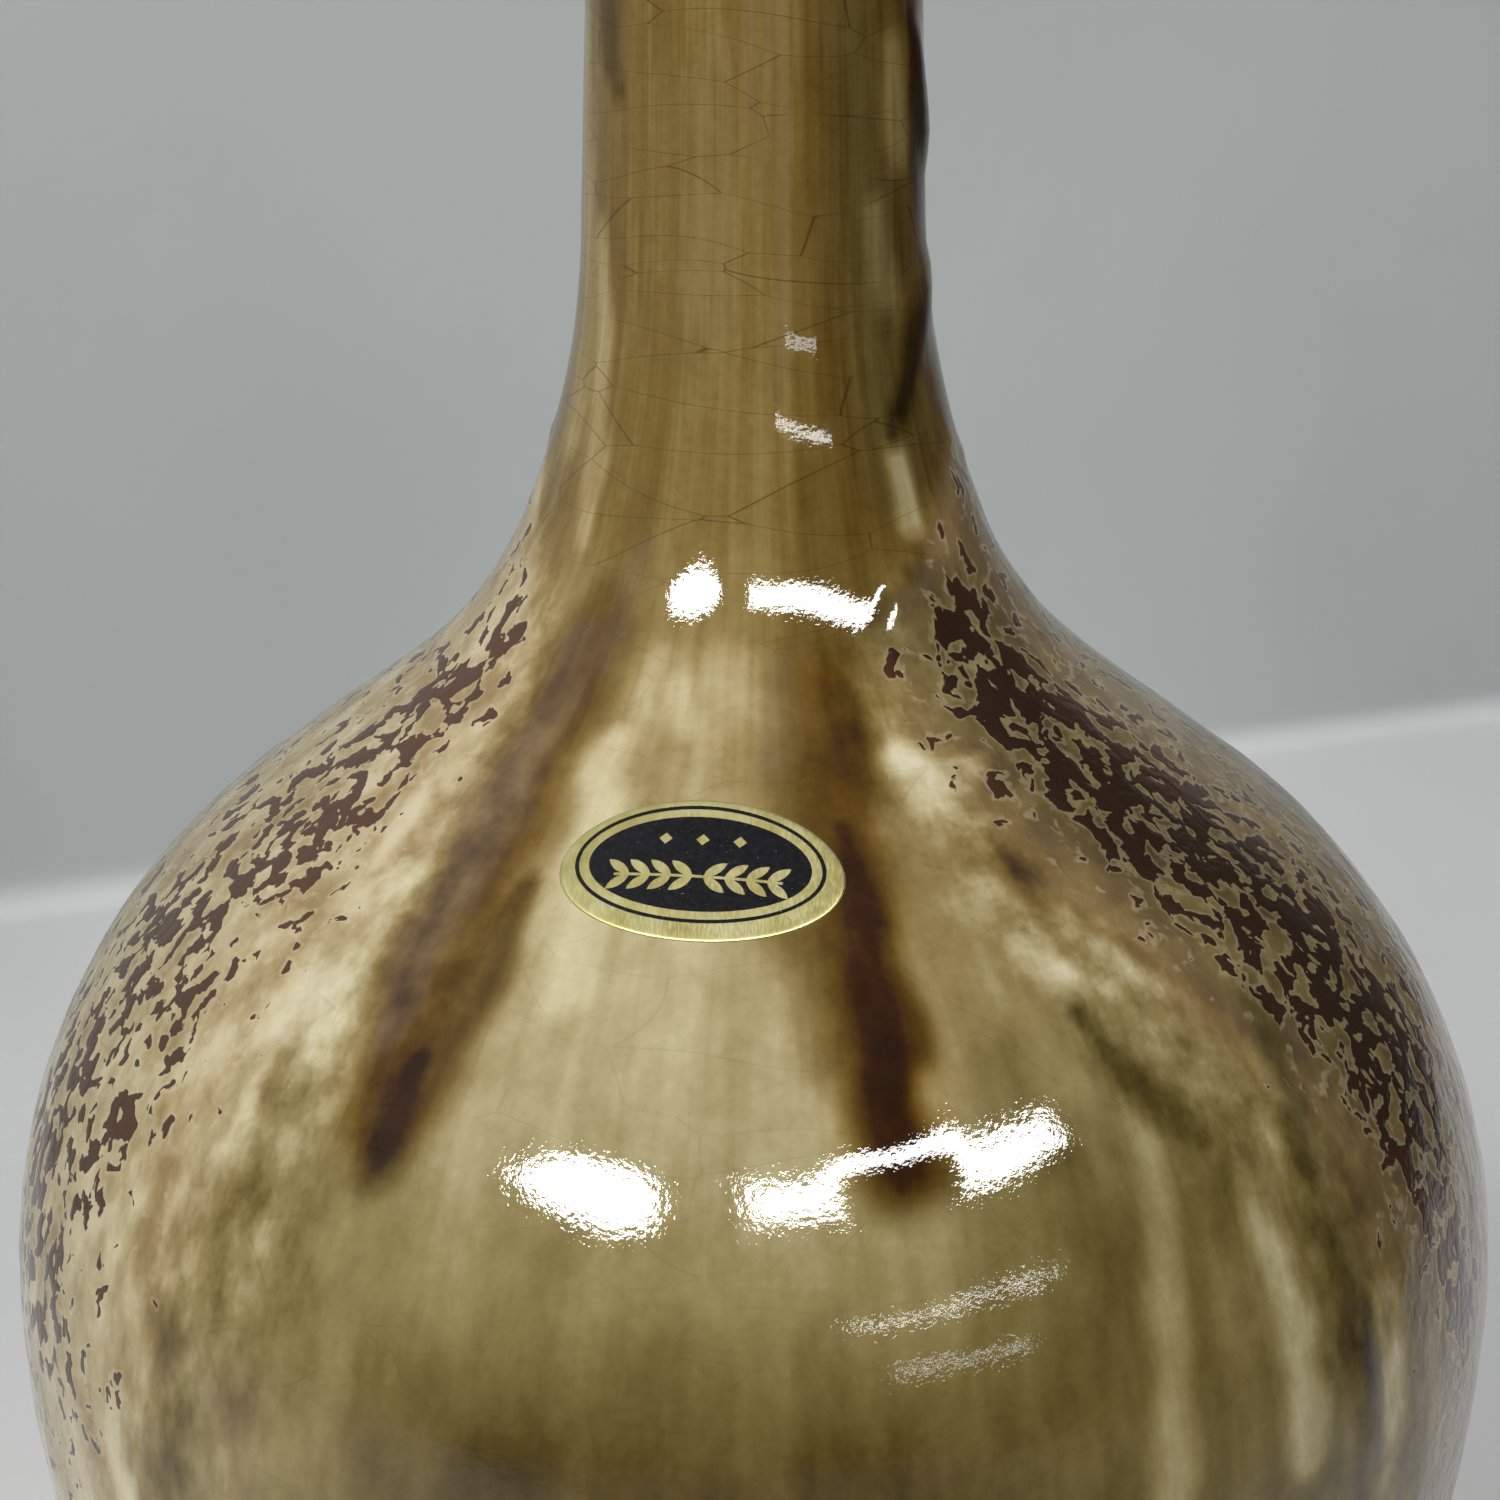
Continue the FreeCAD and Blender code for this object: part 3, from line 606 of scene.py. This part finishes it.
class Paint:
    """The node tree of one material, with short calls for the nodes that this script uses."""

    def __init__(self, name):
        self.material = bpy.data.materials.new(name)
        self.material.use_nodes = True
        self.tree = self.material.node_tree
        self.shader = self.tree.nodes["Principled BSDF"]
        self.place = self.node("ShaderNodeTexCoord").outputs["Object"]

    def node(self, kind, **settings):
        made = self.tree.nodes.new(kind)
        for key, value in settings.items():
            setattr(made, key, value)
        return made

    def feed(self, socket, value):
        if isinstance(value, bpy.types.NodeSocket):
            self.tree.links.new(value, socket)
        else:
            socket.default_value = value

    def math(self, operation, first, second=0.0, third=0.0):
        made = self.node("ShaderNodeMath", operation=operation)
        for socket, value in zip(made.inputs, (first, second, third)):
            self.feed(socket, value)
        return made.outputs[0]

    def vector(self, operation, first, second=(0.0, 0.0, 0.0)):
        made = self.node("ShaderNodeVectorMath", operation=operation)
        self.feed(made.inputs[0], first)
        self.feed(made.inputs[1], second)
        return made.outputs[0]

    def scaled(self, place, x, y, z):
        return self.vector("MULTIPLY", place, (x, y, z))

    def attribute(self, name):
        return self.node("ShaderNodeAttribute", attribute_name=name).outputs["Fac"]

    def noise(self, place, scale, detail=2.0, roughness=0.5, distortion=0.0):
        made = self.node("ShaderNodeTexNoise")
        self.feed(made.inputs["Vector"], place)
        for key, value in (("Scale", scale), ("Detail", detail), ("Roughness", roughness),
                           ("Distortion", distortion)):
            made.inputs[key].default_value = value
        return made.outputs["Fac"]

    def cells(self, place, scale, feature):
        made = self.node("ShaderNodeTexVoronoi", feature=feature)
        self.feed(made.inputs["Vector"], place)
        made.inputs["Scale"].default_value = scale
        return made.outputs["Distance"]

    def step(self, value, low, high, out_low=0.0, out_high=1.0):
        made = self.node("ShaderNodeMapRange", interpolation_type="SMOOTHSTEP")
        for socket, number in zip(made.inputs, (value, low, high, out_low, out_high)):
            self.feed(socket, number)
        return made.outputs["Result"]

    def ramp(self, value, stops):
        made = self.node("ShaderNodeValToRGB")
        self.feed(made.inputs[0], value)
        elements = made.color_ramp.elements
        while len(elements) < len(stops):
            elements.new(0.5)
        for element, (position, code) in zip(elements, stops):
            element.position = position
            element.color = colour(code)
        return made.outputs["Color"]

    def mix(self, share, first, second, blend="MIX"):
        made = self.node("ShaderNodeMix", data_type="RGBA", blend_type=blend)
        self.feed(made.inputs["Factor"], share)
        self.feed(made.inputs[6], colour(first) if isinstance(first, str) else first)
        self.feed(made.inputs[7], colour(second) if isinstance(second, str) else second)
        return made.outputs[2]

    def bump(self, height, distance, strength=1.0, normal=None):
        made = self.node("ShaderNodeBump")
        made.inputs["Strength"].default_value = strength
        made.inputs["Distance"].default_value = distance
        self.feed(made.inputs["Height"], height)
        if normal is not None:
            self.feed(made.inputs["Normal"], normal)
        return made.outputs["Normal"]

    def finish(self, base, roughness, normal, **constants):
        self.feed(self.shader.inputs["Base Color"], base)
        self.feed(self.shader.inputs["Roughness"], roughness)
        if normal is not None:
            self.feed(self.shader.inputs["Normal"], normal)
        for name, value in constants.items():
            self.shader.inputs[name.replace("_", " ")].default_value = value
        return self.material


PER_MM = 1000.0
# Colour of the glaze by its thickness, for amber and for olive glaze. The thickness also holds painted
# shade, so the dark stops stand partly for shade.
AMBER_STOPS = ((0.0, "#dbd0b2"), (0.12, "#cec19c"), (0.25, "#b7a67c"), (0.40, "#947c49"), (0.55, "#755b26"),
               (0.70, "#563d0e"), (0.85, "#341c06"), (1.0, "#160a03"))
OLIVE_STOPS = ((0.0, "#d2cbb1"), (0.12, "#c4bb9a"), (0.25, "#aba07a"), (0.40, "#8a7d53"), (0.55, "#6c5f36"),
               (0.70, "#4f421d"), (0.85, "#30260d"), (1.0, "#150e05"))


def flow_streaks(p, place):
    """Fine and broad noise drawn out along the way the glaze ran, from the neck down over the belly."""
    around = p.vector("NORMALIZE", p.scaled(p.place, 1.0, 1.0, 0.0))
    split = p.node("ShaderNodeSeparateXYZ")
    p.feed(split.inputs[0], place)
    lift = p.math("MULTIPLY_ADD", p.noise(place, 0.06), 1.4, p.math("MULTIPLY", split.outputs["Z"], 0.045))
    up = p.node("ShaderNodeCombineXYZ")
    p.feed(up.inputs["Z"], lift)
    broad = p.noise(p.vector("ADD", p.scaled(around, 13.0, 13.0, 0.0), up.outputs[0]), 1.0, 2.0, 0.55)
    fine = p.noise(p.vector("ADD", p.scaled(around, 34.0, 34.0, 0.0), up.outputs[0]), 1.0, 3.0, 0.6)
    return broad, fine


def glaze_colour(p, place, neck, outside, bare):
    """Colour of both glazes, pale where thin and amber, olive or nearly black where they pooled, and darker
    where painted shade is put in with the thickness and olive tint.
    """
    broad, fine = flow_streaks(p, place)
    mottle = p.noise(p.scaled(place, 1.0, 1.0, 0.55), 0.20, 4.0, 0.58)
    grain = p.noise(place, 1.1, 3.0, 0.65)
    # Glaze thickness, with painted shade in it on the right side, up the neck and low on the belly.
    thickness_and_shade = p.attribute("thickness_and_shade")
    streaked = p.step(bare, 0.0, 1.0, 1.0, 0.25)
    fine_gain = p.math("MULTIPLY", streaked, p.step(neck, 0.0, 1.0, 0.10, 0.13))
    broad_gain = p.math("MULTIPLY", streaked, p.step(neck, 0.0, 1.0, 0.24, 0.20))
    mottle_gain = p.math("MULTIPLY", p.step(neck, 0.0, 1.0, 1.0, 0.5), p.step(outside, -0.4, 0.0, 0.28, 1.15))
    for value, gain in ((fine, fine_gain), (broad, broad_gain), (mottle, mottle_gain), (grain, 0.09)):
        thickness_and_shade = p.math("MULTIPLY_ADD", p.math("SUBTRACT", value, 0.5), gain, thickness_and_shade)
    poured = p.mix(p.attribute("olive_and_shade"), p.ramp(thickness_and_shade, AMBER_STOPS), p.ramp(thickness_and_shade, OLIVE_STOPS))
    mauve = p.ramp(thickness_and_shade, ((0.25, "#95835f"), (0.62, "#67533b"), (0.95, "#2a170e")))
    poured = p.mix(p.math("MULTIPLY", p.attribute("mauve"), p.step(broad, 0.2, 0.7, 0.6, 1.0)), poured, mauve)
    # Speckled ground beside the pour: pale, and dark olive where olive is high, which on the right side is
    # partly painted shade.
    return p.mix(p.math("MULTIPLY", bare, 0.30), poured, p.mix(p.attribute("olive_and_shade"), "#b89f7a", "#5f5230"))


def crackle(p, place):
    """Long, mostly level craze lines; 1 on a line."""
    warp = p.node("ShaderNodeTexNoise")
    p.feed(warp.inputs["Vector"], place)
    warp.inputs["Scale"].default_value = 0.05
    warp.inputs["Detail"].default_value = 0.0
    bent = p.vector("ADD", p.scaled(place, 1.0, 1.0, 5.0), p.scaled(warp.outputs["Color"], 14.0, 14.0, 30.0))
    line = p.step(p.cells(bent, 0.058, "DISTANCE_TO_EDGE"), 0.0, 0.010, 1.0, 0.0)
    return p.math("MULTIPLY", line, p.step(p.noise(place, 0.07), 0.30, 0.44))


def speckles(p, place, outside):
    """Worm-shaped iron specks of the bare glaze: where they are, their pale rim and the dimpled field."""
    warp = p.node("ShaderNodeTexNoise")
    p.feed(warp.inputs["Vector"], place)
    warp.inputs["Scale"].default_value = 0.30
    warp.inputs["Detail"].default_value = 2.0
    bent = p.vector("ADD", p.scaled(place, 1.0, 1.0, 0.80), p.scaled(warp.outputs["Color"], 3.0, 3.0, 3.0))
    field = p.noise(bent, 0.54, 2.0, 0.45)
    patch = p.math("SUBTRACT", p.noise(place, 0.20, 2.0), 0.5)
    level = p.math("MULTIPLY_ADD", p.attribute("ink"), 0.28, field)
    level = p.math("MULTIPLY_ADD", patch, 0.34, level)
    level = p.math("ADD", p.step(outside, -0.16, 0.10, -0.16, 0.0), level)
    return p.step(level, 0.765, 0.785), p.step(level, 0.66, 0.75), field


def glaze_paint():
    """Outer glazes: streaked and crackled pour, and the speckled bare glaze beside it."""
    p = Paint("glaze_paint")
    place = p.scaled(p.place, PER_MM, PER_MM, PER_MM)
    neck = p.attribute("neck")
    outside = p.attribute("outside")
    ragged = p.math("MULTIPLY_ADD", p.math("SUBTRACT", p.noise(place, 0.16, 3.0, 0.55), 0.5), 0.30, outside)
    bare = p.step(ragged, -0.12, 0.16)
    base = glaze_colour(p, place, neck, outside, bare)
    speckle, rim, field = speckles(p, place, ragged)
    base = p.mix(p.math("MULTIPLY", rim, p.math("MULTIPLY", bare, 0.35)), base,
                 # Pale rims and iron specks, darker where olive is high, which on the right side is partly
                 # painted shade.
                 p.mix(p.attribute("olive_and_shade"), "#d6c9a8", "#9a8b62"))
    base = p.mix(p.math("MULTIPLY", speckle, 0.97), base, p.mix(p.attribute("olive_and_shade"), "#52301c", "#120604"))
    line = p.math("MULTIPLY", crackle(p, place), p.math("SUBTRACT", 1.0, bare))
    base = p.mix(p.math("MULTIPLY", line, p.step(neck, 0.0, 1.0, 0.12, 0.58)), base, "#2a1a08")

    height = p.math("MULTIPLY", p.noise(place, 1.9, 2.0, 0.55), 0.16)
    height = p.math("MULTIPLY_ADD", speckle, -0.30, height)
    height = p.math("MULTIPLY", height, p.step(neck, 0.0, 1.0, 1.0, 0.35))
    height = p.math("MULTIPLY_ADD", p.math("MULTIPLY", field, bare), 2.0, height)
    roughness = p.math("MULTIPLY_ADD", speckle, 0.06, p.step(bare, 0.0, 1.0, 0.035, 0.09))
    return p.finish(base, roughness, p.bump(height, 0.0001), IOR=1.5)


def clay_paint():
    """Unglazed stoneware: buff to orange, with grog specks and turning marks."""
    p = Paint("clay_paint")
    place = p.scaled(p.place, PER_MM, PER_MM, PER_MM)
    cloud = p.noise(place, 0.08, 4.0, 0.6)
    base = p.ramp(cloud, ((0.3, "#8f6a4c"), (0.5, "#a98462"), (0.7, "#bf9d7c")))
    specks = p.noise(place, 1.3, 2.0, 0.6)
    base = p.mix(p.step(specks, 0.62, 0.70), base, "#e0cdb2")
    base = p.mix(p.step(p.noise(place, 0.9, 2.0), 0.66, 0.72), base, "#4d3424")
    rings = p.noise(p.scaled(place, 0.05, 0.05, 2.2), 1.0, 3.0)
    height = p.math("MULTIPLY_ADD", specks, 0.6, rings)
    return p.finish(base, 0.82, p.bump(height, 0.0002), IOR=1.5)


def liner_paint():
    """Plain buff glaze of the inside, clouded and with dark specks."""
    p = Paint("liner_paint")
    place = p.scaled(p.place, PER_MM, PER_MM, PER_MM)
    cloud = p.noise(place, 0.07, 4.0, 0.55)
    base = p.ramp(cloud, ((0.3, "#8d7a55"), (0.5, "#a8956f"), (0.7, "#bcab88")))
    base = p.mix(p.step(p.noise(place, 0.8, 2.0), 0.66, 0.72), base, "#5a4029")
    return p.finish(base, 0.14, p.bump(p.noise(place, 0.9, 2.0), 0.00008), IOR=1.5)


def foil_paint():
    """Satin gold foil with a faint brushed grain."""
    p = Paint("foil_paint")
    place = p.scaled(p.place, PER_MM, PER_MM, PER_MM)
    brushed = p.noise(p.scaled(place, 9.0, 1.2, 1.2), 1.0, 3.0, 0.65)
    cloud = p.noise(place, 0.35, 3.0)
    base = p.ramp(cloud, ((0.3, "#cdc07c"), (0.5, "#dbd190"), (0.7, "#e8e0aa")))
    roughness = p.step(brushed, 0.3, 0.7, 0.36, 0.50)
    return p.finish(base, roughness, p.bump(brushed, 0.00001), Metallic=0.9, IOR=1.5)


def ink_paint():
    """Black print with pinholes that let the foil through."""
    p = Paint("ink_paint")
    place = p.scaled(p.place, PER_MM, PER_MM, PER_MM)
    pinholes = p.step(p.noise(place, 5.5, 2.0, 0.6), 0.70, 0.75)
    base = p.mix(pinholes, p.mix(p.noise(place, 0.8), "#0b0b0d", "#16161a"), "#9c8d5c")
    return p.finish(base, p.step(p.noise(place, 2.0), 0.3, 0.7, 0.24, 0.36), None, IOR=1.45)


def glue_paint():
    """Dried clear glue, seen only as a thin edge under the label."""
    p = Paint("glue_paint")
    place = p.scaled(p.place, PER_MM, PER_MM, PER_MM)
    base = p.ramp(p.noise(place, 1.2, 2.0), ((0.3, "#8a8066"), (0.7, "#a89d80")))
    return p.finish(base, 0.3, p.bump(p.noise(place, 3.0), 0.00001), IOR=1.47)


# ---------------------------------------------------------------- stage, light and camera

# The sheet of floor and wall: its turn, the distance and radius of its bend, its reach and height,
# and how far it lies under the foot.
SWEEP_YAW = 22.0
SWEEP_DISTANCE = 256.0
SWEEP_BEND = 8.0
SWEEP_FRONT = 1500.0
SWEEP_HEIGHT = 1800.0
SWEEP_HALF_WIDTH = 1600.0
FLOOR_GAP = 0.05


def sweep_paint():
    """Pale floor that turns into a plain grey wall, with painted shade towards the front and off to the
    sides, a faint painted glow, and clear from behind.
    """
    p = Paint("sweep_paint")
    split = p.node("ShaderNodeSeparateXYZ")
    p.feed(split.inputs[0], p.scaled(p.place, PER_MM, PER_MM, PER_MM))
    x, y, z = (split.outputs[axis] for axis in "XYZ")
    wall = p.mix(p.noise(p.place, 9.0, 3.0), "#b0b4b3", "#a0a4a3")
    # Painted shade: the floor darkens towards the front and the right.
    nearness = p.math("MULTIPLY_ADD", x, 0.6, p.math("MULTIPLY", y, -0.8))
    floor = p.mix(p.step(nearness, 80.0, 270.0), "#dadada", "#626262")
    base = p.mix(p.step(z, 0.0, 6.0), floor, wall)
    # Painted shade: floor and wall darken off to the right.
    base = p.mix(p.step(x, 260.0, 560.0, 0.0, 0.8), base, "#4a4b4b")
    shade = p.math("MULTIPLY", p.step(x, 60.0, -420.0), p.step(z, 260.0, 20.0, 0.30, 0.60))
    base = p.mix(shade, base, "#6d7070")
    # Painted light: floor and wall glow faintly in their own colour.
    p.feed(p.shader.inputs["Emission Color"], base)
    side = p.node("ShaderNodeNewGeometry")
    p.feed(p.shader.inputs["Alpha"], p.math("SUBTRACT", 1.0, side.outputs["Backfacing"]))
    return p.finish(base, 0.85, p.bump(p.noise(p.place, 220.0), 0.0001), IOR=1.45, Emission_Strength=0.18)


def sweep():
    """Floor and wall in one curved sheet behind the bottle."""
    rise = np.radians(np.linspace(0, 90, 25))
    reach = np.concatenate([[-SWEEP_FRONT, -400.0], SWEEP_BEND * np.sin(rise), [SWEEP_BEND]])
    height = np.concatenate([[0.0, 0.0], SWEEP_BEND * (1 - np.cos(rise)), [SWEEP_HEIGHT]]) - FLOOR_GAP
    sides = np.array([-SWEEP_HALF_WIDTH, 0.0, SWEEP_HALF_WIDTH])
    yaw = math.radians(SWEEP_YAW)
    x = sides * math.cos(yaw) - (reach[:, None] + SWEEP_DISTANCE) * math.sin(yaw)
    y = sides * math.sin(yaw) + (reach[:, None] + SWEEP_DISTANCE) * math.cos(yaw)
    points = np.stack([x, y, height[:, None] + 0.0 * x], axis=-1) * MM
    rows, columns = points.shape[:2]
    faces = [(i * columns + j, i * columns + j + 1, (i + 1) * columns + j + 1, (i + 1) * columns + j)
             for i in range(rows - 1) for j in range(columns - 1)]
    return make_object("sweep", points.reshape(-1, 3), faces)


LIGHT_DISTANCE = 900.0
AIM_HEIGHT = 95.0


def light(name, azimuth, elevation, width, height, power, shape="RECTANGLE", tint=(1.0, 1.0, 1.0)):
    """Area light that faces the bottle; width and height are angles seen from the bottle."""
    made = bpy.data.objects.new(name, bpy.data.lights.new(name, "AREA"))
    bpy.context.scene.collection.objects.link(made)
    turn, lift = math.radians(azimuth), math.radians(elevation)
    way = Vector((math.sin(turn) * math.cos(lift), -math.cos(turn) * math.cos(lift), math.sin(lift)))
    made.location = (way * LIGHT_DISTANCE + Vector((0, 0, AIM_HEIGHT))) * MM
    made.rotation_euler = way.to_track_quat("Z", "Y").to_euler()
    made.data.shape = shape
    made.data.size = 2 * LIGHT_DISTANCE * MM * math.tan(math.radians(width / 2))
    made.data.size_y = 2 * LIGHT_DISTANCE * MM * math.tan(math.radians(height / 2))
    made.data.color = tint
    made.data.energy = power
    return made


# The slatted window: number of slats, width all told, and the way to its middle.
WINDOW_SLATS = 11
WINDOW_WIDTH = 60.0
WINDOW_AZIMUTH = 29.0
WINDOW_ELEVATION = 39.5


def lights():
    """A round soft light on the left, a slatted window on the right with its sill, and wide fill.

    Every third slat alone lights matt surfaces; the others only shine on the glaze.
    """
    light("left_softbox", -29.0, 38.0, 21.0, 10.8, 5.6, "ELLIPSE")
    pitch = WINDOW_WIDTH / WINDOW_SLATS
    for i in range(WINDOW_SLATS):
        azimuth = WINDOW_AZIMUTH + (i - (WINDOW_SLATS - 1) / 2) * pitch
        slat = light(f"window_{i}", azimuth, WINDOW_ELEVATION, pitch * 0.78, 7.2, 0.62)
        slat.visible_diffuse = i % 3 == 0
    light("sill_high", 29.0, 19.0, 30.0, 1.0, 0.35)
    light("sill_low", 29.0, 9.0, 20.0, 1.0, 0.12)
    light("fill_left", -80.0, 50.0, 60.0, 50.0, 0.45, tint=(1.0, 0.99, 0.97))


# The way from which most of the room's light comes.
BRIGHT_SIDE = (-0.75, 0.40, 0.52)


def world():
    """Even room light that comes mostly from above, behind and the left."""
    made = bpy.data.worlds.new("room")
    bpy.context.scene.world = made
    made.use_nodes = True
    tree = made.node_tree
    place = tree.nodes.new("ShaderNodeTexCoord")
    towards = tree.nodes.new("ShaderNodeVectorMath")
    towards.operation = "DOT_PRODUCT"
    towards.inputs[1].default_value = BRIGHT_SIDE
    tree.links.new(place.outputs["Generated"], towards.inputs[0])
    ramp = tree.nodes.new("ShaderNodeMapRange")
    ramp.interpolation_type = "SMOOTHSTEP"
    tree.links.new(towards.outputs["Value"], ramp.inputs["Value"])
    for name, value in (("From Min", -0.8), ("From Max", 0.9), ("To Min", 0.02), ("To Max", 0.21)):
        ramp.inputs[name].default_value = value
    background = tree.nodes["Background"]
    background.inputs["Color"].default_value = (0.93, 0.97, 1.0, 1.0)
    tree.links.new(ramp.outputs["Result"], background.inputs["Strength"])


CAMERA_SIDE = -0.34
CAMERA_DISTANCE = 3.5538 * BODY_RADIUS
CAMERA_HEIGHT = WIDEST_HEIGHT + 1.8168 * BODY_RADIUS
CAMERA_PITCH = 17.8
CAMERA_LENS = 67.2


def camera():
    """Close view from a little above, centred on the shoulder."""
    made = bpy.data.objects.new("camera", bpy.data.cameras.new("camera"))
    bpy.context.scene.collection.objects.link(made)
    made.location = (CAMERA_SIDE * MM, -CAMERA_DISTANCE * MM, CAMERA_HEIGHT * MM)
    made.rotation_euler = Euler((math.radians(90 - CAMERA_PITCH), 0, 0))
    made.data.lens = CAMERA_LENS
    made.data.sensor_width = 36.0
    made.data.clip_start = 0.01
    bpy.context.scene.camera = made


# ---------------------------------------------------------------- putting it together

def dress(piece, paint, slot, *nodes):
    """Gives a piece its material and its body, and hides the CAD nodes that it stands for; the slot is not
    used.
    """
    piece.data.materials.clear()
    piece.data.materials.append(paint)
    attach(piece, "root")
    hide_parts(*nodes)


dress(glaze_coat(), glaze_paint(), "ash_glaze", "body_glaze", "ash_glaze")
dress(clay_shell(), clay_paint(), "stoneware", "stoneware_body")
dress(liner_coat(), liner_paint(), "liner_glaze", "liner_glaze")
dress(foil_label(), foil_paint(), "gold_foil", "label_foil")
for node, paint in (("label_ink", ink_paint()), ("label_adhesive", glue_paint())):
    shown = frame["nodes"][node]
    shown.data.materials.clear()
    shown.data.materials.append(paint)

backdrop = sweep()
backdrop.data.materials.append(sweep_paint())
lights()
world()
camera()
bpy.context.scene.view_settings.view_transform = "Standard"
